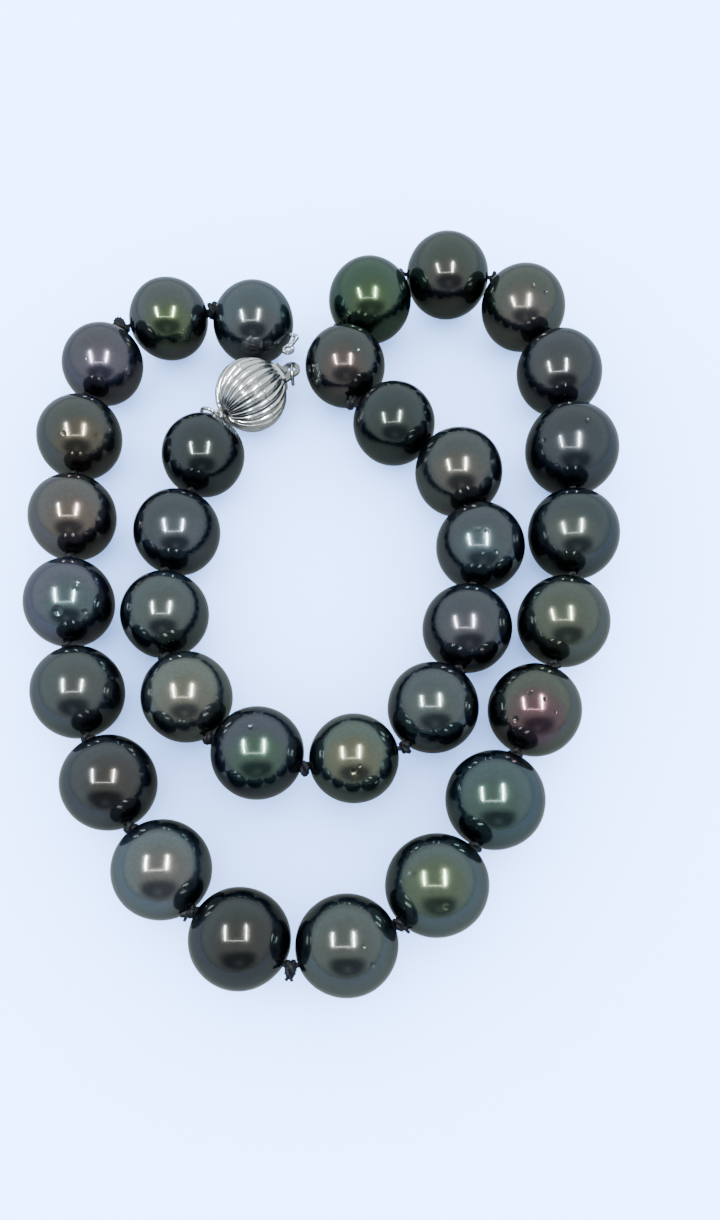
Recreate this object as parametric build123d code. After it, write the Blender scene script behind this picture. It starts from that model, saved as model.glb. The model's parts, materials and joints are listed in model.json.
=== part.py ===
"""Knotted strand of 33 graduated pearls with a fluted ball clasp, laid flat in a horseshoe.

The strand rests on z = 0. The origin is under the middle of the laid-out strand, +Y points to the
side where the clasp lies and +Z is up. Sizes are in millimetres and angles in degrees.
"""

import math
import os

from build123d import *

# pearls, numbered from the clasp along the inner row (1) round to the outer row (33)
PEARLS = 33
MIDDLE = 17
SIZE_INNER_END = 11.3
SIZE_MIDDLE = 12.4
SIZE_OUTER_END = 11.6
BORE = 0.96

# silk and knots: free length at each knot, as (last knot of the stretch, length)
THREAD = 0.8
KNOT_LENGTHS = ((1, 1.3), (3, 1.1), (15, 0.7), (24, 0.9), (32, 1.3))
LEAST_GAP = 0.4  # between two pearls where the strand turns sharply
KNOT_FILL = 0.75  # share of its free length that a knot takes up
KNOT_HALF_LENGTH_MOST = 0.5
KNOT_RADIUS = 0.7
KNOT_ROUNDING = 0.35
THREAD_INSET = 0.15  # a stretch of silk that turns on a knot starts this far inside its pearl

# how the strand lies: the middle pearl, its heading, and the turn at each knot out to each end
MIDDLE_AT = (33.3, 17.6)
MIDDLE_HEADING = 88
TURNS_INNER = (8, 27, 52, 52, 50, 52, -28, -41, -3, -22, -44, -31, -42, -25, -16, -2)
TURNS_OUTER = (-4, -10, -10, 0, -20, -23, -52, -22, -10, -12, -12, -1, -4, -17, -59, -35)

# stretches of silk from the middle outwards, as the first and last pearl that each one carries
MIDDLE_STRETCH = (16, 18)
INNER_STRETCHES = ((15, 14), (13, 10), (9, 8), (7, 6), (5, 4), (3, 2), (1, 1))
OUTER_STRETCHES = ((19, 20), (21, 22), (23, 24), (25, 26), (27, 28), (29, 30), (31, 32), (33, 33))

# ball clasp, measured along its own axis from the middle of the ball towards the tongue
CLASP_HEADING = 41
BALL_RADIUS = 5.0
BALL_WALL = 0.4
FLUTES = 24
FLUTE_RADIUS = 0.3
FLUTE_LEAN = 1.0  # how much wider than the ball each flute's circle is, so that it runs out
REAR_FLAT = 4.75
MOUTH = 4.4
PLATE_RADIUS = 2.3
PLATE_THICKNESS = 0.45
SLOT_WIDTH = 3.0
SLOT_TOP = 1.2
SLOT_BOTTOM = -1.05
CAP_RADIUS = 0.5
CAP_LENGTH = 0.4
CAP_DROP = 0.35
EYELET_AT = -6.0
EYELET_RADIUS = 0.7
EYELET_WIRE = 0.44
EYELET_DROP = 0.3

# tongue: a folded strip whose lower leaf carries the end hole and whose upper leaf is sprung
FOLD_AT = -0.6
LEAF_THICKNESS = 0.4
SPRING_THICKNESS = 0.3
LOWER_LEAF_TOP = -0.5
LOWER_LEAF_WIDTH = 2.4
SPRING_WIDTH = 2.0
FOLD_GAP = 0.05
SHOULDER_AT = 4.1
SHOULDER_TOP = 1.1
THUMB_BOTTOM = 0.5
THUMB_END = 5.9
TONGUE_HOLE_AT = 7.5
TONGUE_HOLE_RADIUS = 0.55

# jump rings and the wire coil that covers the silk where it loops to the clasp
RING_RADIUS = 1.25
RING_WIRE = 0.5
RING_A_HEADING = 155
RING_B_HEADING = -86
RING_B_RISE = 0.3
COIL_WIRE = 0.54
COIL_LOOP_RADIUS = 0.65
COIL_LOOP_AT = 1.15
COIL_INSET = 1.0
COIL_B_STEP = 2.3
COIL_B_HEADING = 100
COIL_B_LEAD = 1.1


def on_heading(angle):
    """Horizontal unit vector at an angle from +X."""
    return Vector(math.cos(math.radians(angle)), math.sin(math.radians(angle)), 0)


def pearl_size(number):
    """Diameter of a pearl: the strand swells from both ends to the middle."""
    end = SIZE_INNER_END if number < MIDDLE else SIZE_OUTER_END
    from_end = 1 - abs(number - MIDDLE) / (MIDDLE - 1)
    return end + (SIZE_MIDDLE - end) * from_end**3


def knot_length(number):
    """Free length of silk at the knot between a pearl and the next one."""
    return next(length for last, length in KNOT_LENGTHS if number <= last)


def reach(number, knot, turn):
    """Distance from a pearl's middle to a knot beside it: longer at a sharp turn."""
    radius = pearl_size(number) / 2
    straight = radius + knot_length(knot) / 2
    turning = (radius + LEAST_GAP / 2) / math.cos(math.radians(turn) / 2)
    return max(straight, turning)


def walk(turns, heading, step):
    """Strings pearls from the middle one to an end, and adds the mouth of the last hole."""
    number = MIDDLE
    place = Vector(*MIDDLE_AT, 0)
    for turn in turns:
        following = number + step
        between = min(number, following)
        place += on_heading(heading) * reach(number, between, turn)
        height = (pearl_size(number) + pearl_size(following)) / 4
        knots[between] = place + Vector(0, 0, height)
        heading += turn
        place += on_heading(heading) * reach(following, between, turn)
        number = following
        centres[number] = place + Vector(0, 0, pearl_size(number) / 2)
    mouth = centres[number] + on_heading(heading) * (pearl_size(number) / 2)
    knots[min(number, number + step)] = mouth
    return heading


# middles of the pearls, and the knots between each pearl and the next: 0 and 33 are the end mouths
centres = {MIDDLE: Vector(*MIDDLE_AT, pearl_size(MIDDLE) / 2)}
knots = {}
END_A_HEADING = walk(TURNS_INNER, MIDDLE_HEADING, -1)
END_B_HEADING = walk(TURNS_OUTER, MIDDLE_HEADING + 180, 1)


def rod(start, end, diameter):
    """Round bar from one point to another."""
    bar = Cylinder(diameter / 2, (end - start).length, align=(Align.CENTER, Align.CENTER, Align.MIN))
    return Plane(origin=start, z_dir=end - start).location * bar


def facing(place, along):
    """Placing that puts local +X along a direction."""
    side = Vector(0, 0, 1).cross(along).normalized()
    return Plane(origin=place, x_dir=along.normalized(), z_dir=along.cross(side)).location


def hoop(place, normal, radius, wire):
    """Closed ring of round wire."""
    return Plane(origin=place, z_dir=normal).location * Torus(radius, wire / 2)


def bore_direction(number):
    """Direction of a pearl's hole, towards the outer end of the strand."""
    return (knots[number] - knots[number - 1]).normalized()


def pearl(number):
    """Ball drilled right through along the line of the silk."""
    past = bore_direction(number) * pearl_size(number)
    drill = rod(centres[number] - past, centres[number] + past, BORE)
    return Pos(centres[number]) * Sphere(pearl_size(number) / 2) - drill


def knot(number):
    """One knot, a rounded barrel round the silk between two pearls."""
    free = (knots[number] - centres[number]).length - pearl_size(number) / 2
    length = 2 * min(KNOT_FILL * free, KNOT_HALF_LENGTH_MOST)
    barrel = Rot(0, 90, 0) * Cylinder(KNOT_RADIUS, length)
    barrel = fillet(barrel.edges().filter_by(GeomType.CIRCLE), KNOT_ROUNDING * length)
    along = bore_direction(number) + bore_direction(number + 1)
    return facing(knots[number], along) * barrel


def silk(first, last):
    """Stretch of silk that carries the pearls from first to last, with the knots that go with it.

    The middle stretch has a knot at both ends. Every other stretch starts just inside its first
    pearl, at the knot that it turns on, and ends in a knot, or in the hole of an end pearl.
    """
    step = 1 if last > first or first > MIDDLE else -1
    far_knots = [number if step > 0 else number - 1 for number in range(first, last + step, step)]
    tied = [number for number in far_knots if 0 < number < PEARLS]
    if (first, last) == MIDDLE_STRETCH:
        tied.insert(0, first - 1)
        points = []
    else:
        inward = bore_direction(first) * step
        start = centres[first] - inward * (pearl_size(first) / 2 - THREAD_INSET)
        points = [start]
    points += [knots[number] for number in tied]
    if last in (1, PEARLS):
        points.append(knots[far_knots[-1]] - bore_direction(last) * step * COIL_INSET)
    pieces = [rod(a, b, THREAD) for a, b in zip(points, points[1:])]
    pieces += [knot(number) for number in tied]
    whole = pieces[0]
    for piece in pieces[1:]:
        whole += piece
    return whole


# the clasp hangs on ring A, beside the mouth of the first pearl's hole
along_a = on_heading(END_A_HEADING)
along_clasp = on_heading(CLASP_HEADING)
link_a = knots[0] + along_a * COIL_LOOP_AT
ball_middle = link_a - along_clasp * EYELET_AT
ball_middle = Vector(ball_middle.X, ball_middle.Y, BALL_RADIUS)
clasp = Plane(origin=ball_middle, x_dir=along_clasp, z_dir=(0, 0, 1)).location


def on_clasp(x, y=0, z=0):
    """A point given along the clasp's axis, across it and up."""
    across = on_heading(CLASP_HEADING + 90)
    return ball_middle + along_clasp * x + across * y + Vector(0, 0, z)


def slab(x_low, x_high, width, z_low, z_high):
    """Block on the clasp's axis, in the clasp's own frame."""
    middle = Pos((x_low + x_high) / 2, 0, (z_low + z_high) / 2)
    return middle * Box(x_high - x_low, width, z_high - z_low)


def half_ball(cut_at):
    """Hollow rear half of the ball, cut flat at one end, with grooves that run out towards it."""
    size = 2 * BALL_RADIUS
    half = Sphere(BALL_RADIUS) - Sphere(BALL_RADIUS - BALL_WALL)
    half &= slab(-cut_at, 0, size + 1, -size / 2 - 1, size / 2 + 1)
    groove = Pos(0, -FLUTE_LEAN, 0) * Torus(BALL_RADIUS + FLUTE_LEAN, FLUTE_RADIUS)
    for number in range(FLUTES):
        half -= Rot(360 * (number + 0.5) / FLUTES, 0, 0) * groove
    return half


def slot():
    """Space cut for the tongue through the mouth plate and the rim behind it."""
    return slab(MOUTH - 1, MOUTH + 1, SLOT_WIDTH, SLOT_BOTTOM, SLOT_TOP)


def mouth_plate():
    """Disc that closes the ball's mouth, with the slot for the tongue."""
    disc = Rot(0, 90, 0) * Cylinder(PLATE_RADIUS, PLATE_THICKNESS)
    return Pos(MOUTH + PLATE_THICKNESS / 2, 0, 0) * disc - slot()


def ball_eyelet():
    """Cap soldered on the ball's rear flat, with the fixed eye that ring A goes through."""
    cap = Rot(0, 90, 0) * Cylinder(CAP_RADIUS, CAP_LENGTH)
    cap = Pos(-REAR_FLAT - CAP_LENGTH / 2, 0, -CAP_DROP) * cap
    eye = Pos(EYELET_AT, 0, -EYELET_DROP) * Torus(EYELET_RADIUS, EYELET_WIRE / 2)
    return cap + eye


def tongue_base():
    """Lower leaf of the tongue, with the fold at its inner end and the hole for ring B."""
    low = LOWER_LEAF_TOP - LEAF_THICKNESS
    leaf = slab(FOLD_AT, TONGUE_HOLE_AT, LOWER_LEAF_WIDTH, low, LOWER_LEAF_TOP)
    end = Pos(TONGUE_HOLE_AT, 0, low + LEAF_THICKNESS / 2)
    leaf += end * Cylinder(LOWER_LEAF_WIDTH / 2, LEAF_THICKNESS)
    leaf -= end * Cylinder(TONGUE_HOLE_RADIUS, 4 * LEAF_THICKNESS)
    upright = slab(FOLD_AT - LEAF_THICKNESS, FOLD_AT, LOWER_LEAF_WIDTH, low, 0)
    return leaf + upright


def tongue_spring():
    """Upper leaf: it rises to a shoulder behind the mouth plate and ends in the thumb tab."""
    root = FOLD_AT + FOLD_GAP
    outline = Polyline(
        (root, -SPRING_THICKNESS),
        (SHOULDER_AT - 0.5, SHOULDER_TOP - SPRING_THICKNESS),
        (SHOULDER_AT, THUMB_BOTTOM),
        (THUMB_END, THUMB_BOTTOM),
        (THUMB_END, THUMB_BOTTOM + 0.6),
        (THUMB_END - SPRING_THICKNESS, THUMB_BOTTOM + 0.6),
        (THUMB_END - SPRING_THICKNESS, THUMB_BOTTOM + SPRING_THICKNESS),
        (SHOULDER_AT + SPRING_THICKNESS, THUMB_BOTTOM + SPRING_THICKNESS),
        (SHOULDER_AT, SHOULDER_TOP),
        (SHOULDER_AT - 0.5, SHOULDER_TOP),
        (root, 0),
        close=True,
    )
    side = Plane(origin=(0, SPRING_WIDTH / 2, 0), x_dir=(1, 0, 0), z_dir=(0, -1, 0))
    return extrude(side.location * make_face(outline), SPRING_WIDTH)


def coil_a():
    """Wire-covered loop at the first pearl: a stem from its hole and an eye for ring A."""
    centre = link_a
    stem = rod(knots[0] - along_a * COIL_INSET, centre - along_a * COIL_LOOP_RADIUS, COIL_WIRE)
    return stem + hoop(centre, (0, 0, 1), COIL_LOOP_RADIUS, COIL_WIRE)


def coil_b():
    """Wire-covered loop at the last pearl, bent round to lie against ring B."""
    along = on_heading(END_B_HEADING)
    centre = on_clasp(TONGUE_HOLE_AT) + on_heading(COIL_B_HEADING) * COIL_B_STEP
    centre = Vector(centre.X, centre.Y, knots[PEARLS].Z)
    corner = knots[PEARLS] + along * COIL_B_LEAD
    start = knots[PEARLS] - along * COIL_INSET
    end = centre + (corner - centre).normalized() * COIL_LOOP_RADIUS
    path = FilletPolyline(start, corner, end, radius=2.5 * COIL_WIRE)
    section = Plane(origin=start, z_dir=along) * Circle(COIL_WIRE / 2)
    return sweep(section, path) + hoop(centre, (0, 0, 1), COIL_LOOP_RADIUS, COIL_WIRE)


def upright_ring(link, heading, height):
    """Jump ring that stands on edge beside a link, which its wire passes straight up through."""
    centre = link + on_heading(heading) * RING_RADIUS
    normal = on_heading(heading + 90)
    return hoop(Vector(centre.X, centre.Y, height), normal, RING_RADIUS, RING_WIRE)


def save(shape, node):
    """Writes one node's STEP file."""
    export_step(shape, f"parts/{node}.step")


def main():
    os.makedirs("parts", exist_ok=True)
    for number in range(1, PEARLS + 1):
        save(pearl(number), f"pearl_{number:02d}")
    for first, last in (MIDDLE_STRETCH, *INNER_STRETCHES, *OUTER_STRETCHES):
        low, high = sorted((first, last))
        save(silk(first, last), f"silk_{low:02d}" if low == high else f"silk_{low:02d}_{high:02d}")

    eyelet_height = BALL_RADIUS - EYELET_DROP
    ring_a_height = (eyelet_height + link_a.Z) / 2
    ring_b_height = BALL_RADIUS + LOWER_LEAF_TOP - LEAF_THICKNESS / 2 + RING_B_RISE
    save(clasp * half_ball(REAR_FLAT), "ball_rear_shell")
    save(clasp * (Rot(0, 0, 180) * half_ball(MOUTH) - slot()), "ball_front_shell")
    save(clasp * mouth_plate(), "ball_mouth_plate")
    save(clasp * ball_eyelet(), "ball_eyelet")
    save(clasp * tongue_base(), "tongue_base")
    save(clasp * tongue_spring(), "tongue_spring")
    save(coil_a(), "wire_coil_a")
    save(coil_b(), "wire_coil_b")
    save(upright_ring(link_a, RING_A_HEADING, ring_a_height), "jump_ring_a")
    save(upright_ring(on_clasp(TONGUE_HOLE_AT), RING_B_HEADING, ring_b_height), "jump_ring_b")


if __name__ == "__main__":
    main()
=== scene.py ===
"""Knotted strand of dark pearls with a fluted ball clasp, laid out on pale paper."""

import json
import math

import bmesh
import bpy
import numpy as np
from bpy.props import FloatProperty, FloatVectorProperty, IntProperty, PointerProperty
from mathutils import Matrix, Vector, noise


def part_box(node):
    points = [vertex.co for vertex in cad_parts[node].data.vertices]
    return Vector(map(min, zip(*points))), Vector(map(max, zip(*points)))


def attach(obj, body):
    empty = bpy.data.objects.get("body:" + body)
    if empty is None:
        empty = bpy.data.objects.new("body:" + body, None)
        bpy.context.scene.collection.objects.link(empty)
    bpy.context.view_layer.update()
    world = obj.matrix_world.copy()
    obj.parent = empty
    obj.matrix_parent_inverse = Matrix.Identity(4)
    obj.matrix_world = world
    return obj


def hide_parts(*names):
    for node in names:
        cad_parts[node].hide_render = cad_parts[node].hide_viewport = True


bl_info = {
    "name": "Pearl strand",
    "version": (1, 0, 0),
    "blender": (4, 5, 0),
    "location": "3D View > Sidebar > Pearl strand",
    "description": "Nacre, knotted silk, fluted clasp and a paper stage for a pearl necklace",
    "category": "Object",
}

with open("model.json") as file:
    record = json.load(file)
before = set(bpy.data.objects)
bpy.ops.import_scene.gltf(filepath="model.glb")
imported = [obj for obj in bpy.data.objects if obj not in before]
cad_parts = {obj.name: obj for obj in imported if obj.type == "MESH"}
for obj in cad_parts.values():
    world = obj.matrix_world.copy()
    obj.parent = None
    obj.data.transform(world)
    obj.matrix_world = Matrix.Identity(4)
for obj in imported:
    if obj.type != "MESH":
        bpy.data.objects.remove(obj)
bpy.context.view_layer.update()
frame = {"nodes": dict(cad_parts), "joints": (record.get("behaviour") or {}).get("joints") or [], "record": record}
MM = 0.001
PEARLS = 33
MIDDLE = 17
MIDDLE_HEADING = 88
CLASP_HEADING = 41
JOINTS = {joint["name"]: joint for joint in frame["joints"]}
BODY_OF = {node: body for body, nodes in frame["record"]["behaviour"]["bodies"].items() for node in nodes}

# each pearl's colour at its shoulders, the overtone colour seen face-on that is painted as a reflection on the
# side facing the camera, as display values, and its plumpness
NACRE = {
    1: ((66, 75, 81), (63, 68, 66), 1.00),
    2: ((78, 86, 93), (91, 97, 105), 1.01),
    3: ((92, 104, 106), (91, 97, 95), 1.00),
    4: ((121, 129, 122), (116, 114, 102), 1.01),
    5: ((84, 90, 102), (76, 98, 84), 1.01),
    6: ((102, 118, 110), (112, 112, 92), 0.97),
    7: ((92, 102, 108), (91, 100, 98), 1.00),
    8: ((84, 90, 99), (93, 92, 98), 1.00),
    9: ((84, 92, 100), (84, 98, 102), 1.02),
    10: ((88, 95, 96), (100, 97, 90), 1.03),
    11: ((66, 78, 80), (61, 68, 64), 0.98),
    12: ((84, 90, 90), (100, 88, 84), 0.97),
    13: ((68, 98, 82), (76, 98, 68), 1.02),
    14: ((78, 89, 84), (81, 80, 74), 1.01),
    15: ((92, 98, 92), (106, 100, 95), 1.00),
    16: ((77, 82, 89), (84, 84, 85), 0.98),
    17: ((70, 77, 83), (74, 78, 84), 1.02),
    18: ((72, 84, 88), (87, 93, 89), 0.98),
    19: ((97, 106, 99), (95, 101, 86), 0.97),
    20: ((96, 101, 92), (104, 76, 82), 0.96),
    21: ((84, 104, 108), (76, 98, 90), 1.00),
    22: ((95, 110, 110), (92, 106, 84), 1.02),
    23: ((98, 109, 107), (91, 95, 91), 1.00),
    24: ((69, 75, 77), (62, 61, 58), 1.00),
    25: ((112, 124, 128), (113, 111, 107), 1.01),
    26: ((79, 84, 88), (71, 68, 65), 1.00),
    27: ((88, 97, 98), (85, 87, 86), 1.00),
    28: ((104, 106, 122), (86, 102, 106), 1.00),
    29: ((110, 108, 108), (114, 100, 92), 1.00),
    30: ((88, 92, 90), (98, 90, 76), 1.00),
    31: ((98, 96, 108), (104, 98, 110), 0.98),
    32: ((94, 102, 104), (90, 106, 74), 0.98),
    33: ((92, 105, 113), (90, 92, 94), 1.00),
}


# growth marks: steps to the right and up from a pearl's middle, as shares of its radius, then the mark's
# radius and depth in millimetres
MARKS = {
    4: ((0.1, 0.62, 0.5, 0.05),),
    5: ((0.0, 0.55, 0.45, 0.1),),
    6: ((-0.02, -0.28, 0.5, 0.1), (0.12, -0.16, 0.25, 0.06), (0.45, -0.5, 0.4, 0.08)),
    9: (
        (-0.12, 0.36, 0.4, 0.1),
        (0.08, 0.36, 0.35, 0.1),
        (0.35, -0.05, 0.3, 0.08),
        (0.08, -0.1, 0.25, 0.06),
    ),
    12: ((0.3, 0.35, 0.6, 0.06),),
    15: ((0.15, 0.5, 0.4, 0.1), (0.45, 0.4, 0.4, 0.1)),
    17: ((0.15, 0.62, 0.5, 0.12), (-0.6, 0.05, 0.4, 0.08)),
    20: (
        (-0.2, 0.3, 0.35, 0.12),
        (0.12, 0.28, 0.3, 0.12),
        (-0.3, -0.3, 0.5, 0.12),
        (0.42, 0.1, 0.25, 0.08),
    ),
    22: ((-0.5, 0.1, 0.7, 0.06), (0.25, -0.35, 0.6, 0.08)),
    23: ((0.45, -0.4, 0.45, 0.1), (0.3, -0.05, 0.3, 0.05)),
    28: ((-0.3, -0.05, 0.8, 0.1), (0.3, 0.25, 0.7, 0.1), (0.2, -0.3, 0.5, 0.06)),
    30: ((0.4, -0.1, 0.7, 0.06), (-0.3, 0.2, 0.4, 0.04)),
}


def linear(colour):
    """Scene-linear colour for one given in display values from 0 to 255."""
    return tuple((value / 255) ** 2.2 for value in colour)


def on_heading(angle):
    """Level unit vector at an angle in degrees from +X."""
    return Vector((math.cos(math.radians(angle)), math.sin(math.radians(angle)), 0))


def settings():
    """The add-on's settings on this scene."""
    return bpy.context.scene.pearl_strand


class Pearl:
    """Where a pearl lies: its middle, radius and the direction of its hole."""

    def __init__(self, number):
        low, high = (Vector(corner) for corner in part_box(f"pearl_{number:02d}"))
        self.number = number
        self.node = f"pearl_{number:02d}"
        self.middle = (low + high) / 2
        self.radius = (high.z - low.z) / 2
        joint = JOINTS.get(f"{self.node}_spin")
        self.along = Vector(joint["axis"]).normalized() if joint else on_heading(MIDDLE_HEADING + 180)


STRAND = {number: Pearl(number) for number in range(1, PEARLS + 1)}


def knot_between(number):
    """Point where the holes of a pearl and the next one meet: the knot is tied there."""
    first, second = STRAND[number], STRAND[number + 1]
    gap = second.middle - first.middle
    sine = first.along.x * second.along.y - first.along.y * second.along.x
    if abs(sine) < 0.06:
        share = (first.radius + (gap.length - first.radius - second.radius) / 2) / gap.length
        return first.middle + gap * share
    run = (gap.x * second.along.y - gap.y * second.along.x) / sine
    return first.middle + first.along * run


KNOTS = {number: knot_between(number) for number in range(1, PEARLS)}


# ---- mesh helpers ----


def new_object(name, mesh):
    """Object for a mesh, put in the scene."""
    piece = bpy.data.objects.new(name, mesh)
    bpy.context.scene.collection.objects.link(piece)
    return piece


def lathe(name, profile, middle, along, sides, shape=None):
    """Closed ring surface from a closed profile of (along, outwards) points turned about a line."""
    side = Vector((0, 0, 1)).cross(along).normalized()
    up = along.cross(side)
    frame_axes = np.array([along, side, up])
    turn = np.linspace(0, 2 * math.pi, sides, endpoint=False)
    profile = np.array(profile)
    around = np.stack([np.cos(turn), np.sin(turn)], axis=1)
    local = np.empty((len(profile), sides, 3))
    local[:, :, 0] = profile[:, :1]
    local[:, :, 1] = profile[:, 1:] * around[:, 0]
    local[:, :, 2] = profile[:, 1:] * around[:, 1]
    if shape:
        local = shape(local, turn)
    points = local.reshape(-1, 3) @ frame_axes + np.array(middle)
    rings = len(profile)
    faces = [
        (
            ring * sides + step,
            ring * sides + (step + 1) % sides,
            (ring + 1) % rings * sides + (step + 1) % sides,
            (ring + 1) % rings * sides + step,
        )
        for ring in range(rings)
        for step in range(sides)
    ]
    mesh = bpy.data.meshes.new(name)
    mesh.from_pydata(points.tolist(), [], faces)
    finish_mesh(mesh)
    return new_object(name, mesh)


def finish_mesh(mesh):
    """Points the faces outwards and smooths them."""
    work = bmesh.new()
    work.from_mesh(mesh)
    bmesh.ops.recalc_face_normals(work, faces=work.faces)
    work.to_mesh(mesh)
    work.free()
    mesh.shade_smooth()
    mesh.update()


def grown(name, runs, tree, **inputs):
    """Runs a Geometry Nodes tree on polylines and keeps the result as a plain mesh."""
    points = [point for run in runs for point in run]
    edges = []
    start = 0
    for run in runs:
        edges += [(start + step, start + step + 1) for step in range(len(run) - 1)]
        start += len(run)
    mesh = bpy.data.meshes.new(name + "_line")
    mesh.from_pydata([tuple(point) for point in points], edges, [])
    line = new_object(name + "_line", mesh)
    modifier = line.modifiers.new("Grow", "NODES")
    modifier.node_group = tree
    for item in tree.interface.items_tree:
        key = item.name.lower().replace(" ", "_")
        if item.in_out == "INPUT" and key in inputs:
            modifier[item.identifier] = inputs[key]
    line.update_tag()
    ready = line.evaluated_get(bpy.context.evaluated_depsgraph_get())
    result = bpy.data.meshes.new_from_object(ready)
    result.name = name
    line.modifiers.remove(modifier)
    bpy.data.objects.remove(line)
    bpy.data.meshes.remove(mesh)
    finish_mesh(result)
    return new_object(name, result)


def settle(piece, node, material):
    """Dresses a piece and lets it stand for a CAD node."""
    piece.data.materials.clear()
    piece.data.materials.append(material)
    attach(piece, BODY_OF[node])
    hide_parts(node)


# ---- node helpers ----


def add(tree, kind, **values):
    """Adds a node, sets its properties, and its inputs where a name is an input's."""
    node = tree.nodes.new(kind)
    for name, value in values.items():
        if hasattr(node, name):
            setattr(node, name, value)
        else:
            node.inputs[name.replace("_", " ")].default_value = value
    return node


def feed(tree, source, target):
    """Links a socket to another, or sets that other one to a plain value."""
    if isinstance(source, bpy.types.NodeSocket):
        tree.links.new(source, target)
    else:
        target.default_value = source


def maths(tree, operation, first, second=None):
    """Output of a Math node on two numbers or sockets."""
    node = add(tree, "ShaderNodeMath", operation=operation)
    for slot, value in enumerate((first, second)):
        if value is not None:
            feed(tree, value, node.inputs[slot])
    return node.outputs[0]


def fade(tree, value, start, end, low=0.0, high=1.0):
    """A number that goes softly from low to high while another goes from start to end."""
    node = add(tree, "ShaderNodeMapRange", interpolation_type="SMOOTHSTEP")
    for name, amount in (("From Min", start), ("From Max", end), ("To Min", low), ("To Max", high)):
        node.inputs[name].default_value = amount
    feed(tree, value, node.inputs["Value"])
    return node.outputs[0]


def spread(tree, value, low, high):
    """A texture's middle values stretched to a range."""
    node = add(tree, "ShaderNodeMapRange", From_Min=0.3, From_Max=0.7, To_Min=low, To_Max=high)
    feed(tree, value, node.inputs["Value"])
    return node.outputs[0]


def gap_to(tree, place, point):
    """Distance from a place to a point, which is a socket or a vector."""
    node = add(tree, "ShaderNodeVectorMath", operation="DISTANCE")
    feed(tree, place, node.inputs[0])
    feed(tree, point, node.inputs[1])
    return node.outputs["Value"]


def scaled(tree, colour, strength):
    """A colour times a number, each of them a socket or a plain value."""
    node = add(tree, "ShaderNodeVectorMath", operation="SCALE")
    feed(tree, colour, node.inputs[0])
    feed(tree, strength, node.inputs["Scale"])
    return node.outputs[0]


def group(name, kind, inputs, outputs):
    """Empty node group with named sockets, and its input and output nodes."""
    tree = bpy.data.node_groups.new(name, kind)
    for label, socket, value in inputs:
        item = tree.interface.new_socket(label, in_out="INPUT", socket_type=socket)
        if value is not None:
            item.default_value = value
    for label, socket in outputs:
        tree.interface.new_socket(label, in_out="OUTPUT", socket_type=socket)
    return tree, tree.nodes.new("NodeGroupInput"), tree.nodes.new("NodeGroupOutput")


def blank_material(name):
    """Material with just a Principled shader, and its tree and that shader."""
    material = bpy.data.materials.new(name)
    material.use_nodes = True
    material.node_tree.nodes.clear()
    tree = material.node_tree
    shader = add(tree, "ShaderNodeBsdfPrincipled")
    output = add(tree, "ShaderNodeOutputMaterial")
    feed(tree, shader.outputs[0], output.inputs[0])
    return material, tree, shader


def nacre_group():
    """Colour, roughness and relief of a pearl's skin, with a painted reflection: another colour on the side that
    faces the camera.
    """
    name = "nacre_skin"
    if name in bpy.data.node_groups:
        return bpy.data.node_groups[name]
    tree, given, result = group(
        name,
        "ShaderNodeTree",
        (
            ("Place", "NodeSocketVector", None),
            ("Body", "NodeSocketColor", None),
            ("Heart", "NodeSocketColor", None),
            ("Heart mask", "NodeSocketFloat", 0.0),
            ("Bands", "NodeSocketFloat", 0.0),
        ),
        (("Color", "NodeSocketColor"), ("Roughness", "NodeSocketFloat"), ("Height", "NodeSocketFloat")),
    )
    clouds = add(tree, "ShaderNodeTexNoise", Scale=170.0, Detail=3.0, Roughness=0.55)
    grain = add(tree, "ShaderNodeTexNoise", Scale=2400.0, Detail=2.0, Roughness=0.6)
    specks = add(tree, "ShaderNodeTexVoronoi", Scale=620.0, Randomness=1.0)
    for texture in (clouds, grain, specks):
        feed(tree, given.outputs["Place"], texture.inputs["Vector"])

    drift = maths(tree, "MULTIPLY", maths(tree, "SUBTRACT", clouds.outputs[0], 0.5), 0.9)
    waves = maths(tree, "SINE", maths(tree, "MULTIPLY", given.outputs["Bands"], 26.0))
    mask = maths(tree, "ADD", given.outputs["Heart mask"], drift)
    mask = maths(tree, "ADD", mask, maths(tree, "MULTIPLY", waves, 0.05))
    # painted reflection: the second colour is mixed in where the mask faces the camera
    tint = add(tree, "ShaderNodeMix", data_type="RGBA")
    feed(tree, fade(tree, mask, 0.15, 0.9), tint.inputs[0])
    feed(tree, given.outputs["Body"], tint.inputs[6])
    feed(tree, given.outputs["Heart"], tint.inputs[7])
    brightness_gain = spread(tree, grain.outputs[0], 0.9, 1.08)
    feed(tree, scaled(tree, tint.outputs[2], brightness_gain), result.inputs["Color"])
    feed(tree, spread(tree, clouds.outputs[0], 0.13, 0.2), result.inputs["Roughness"])

    pocks = fade(tree, specks.outputs["Distance"], 0.0, 0.14, -1.0, 0.0)
    thin = maths(tree, "GREATER_THAN", clouds.outputs[0], 0.63)
    relief = maths(tree, "MULTIPLY", maths(tree, "MULTIPLY", pocks, thin), 0.03)
    skin = maths(tree, "MULTIPLY", grain.outputs[0], 0.006)
    feed(tree, maths(tree, "ADD", relief, skin), result.inputs["Height"])
    return tree


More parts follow.
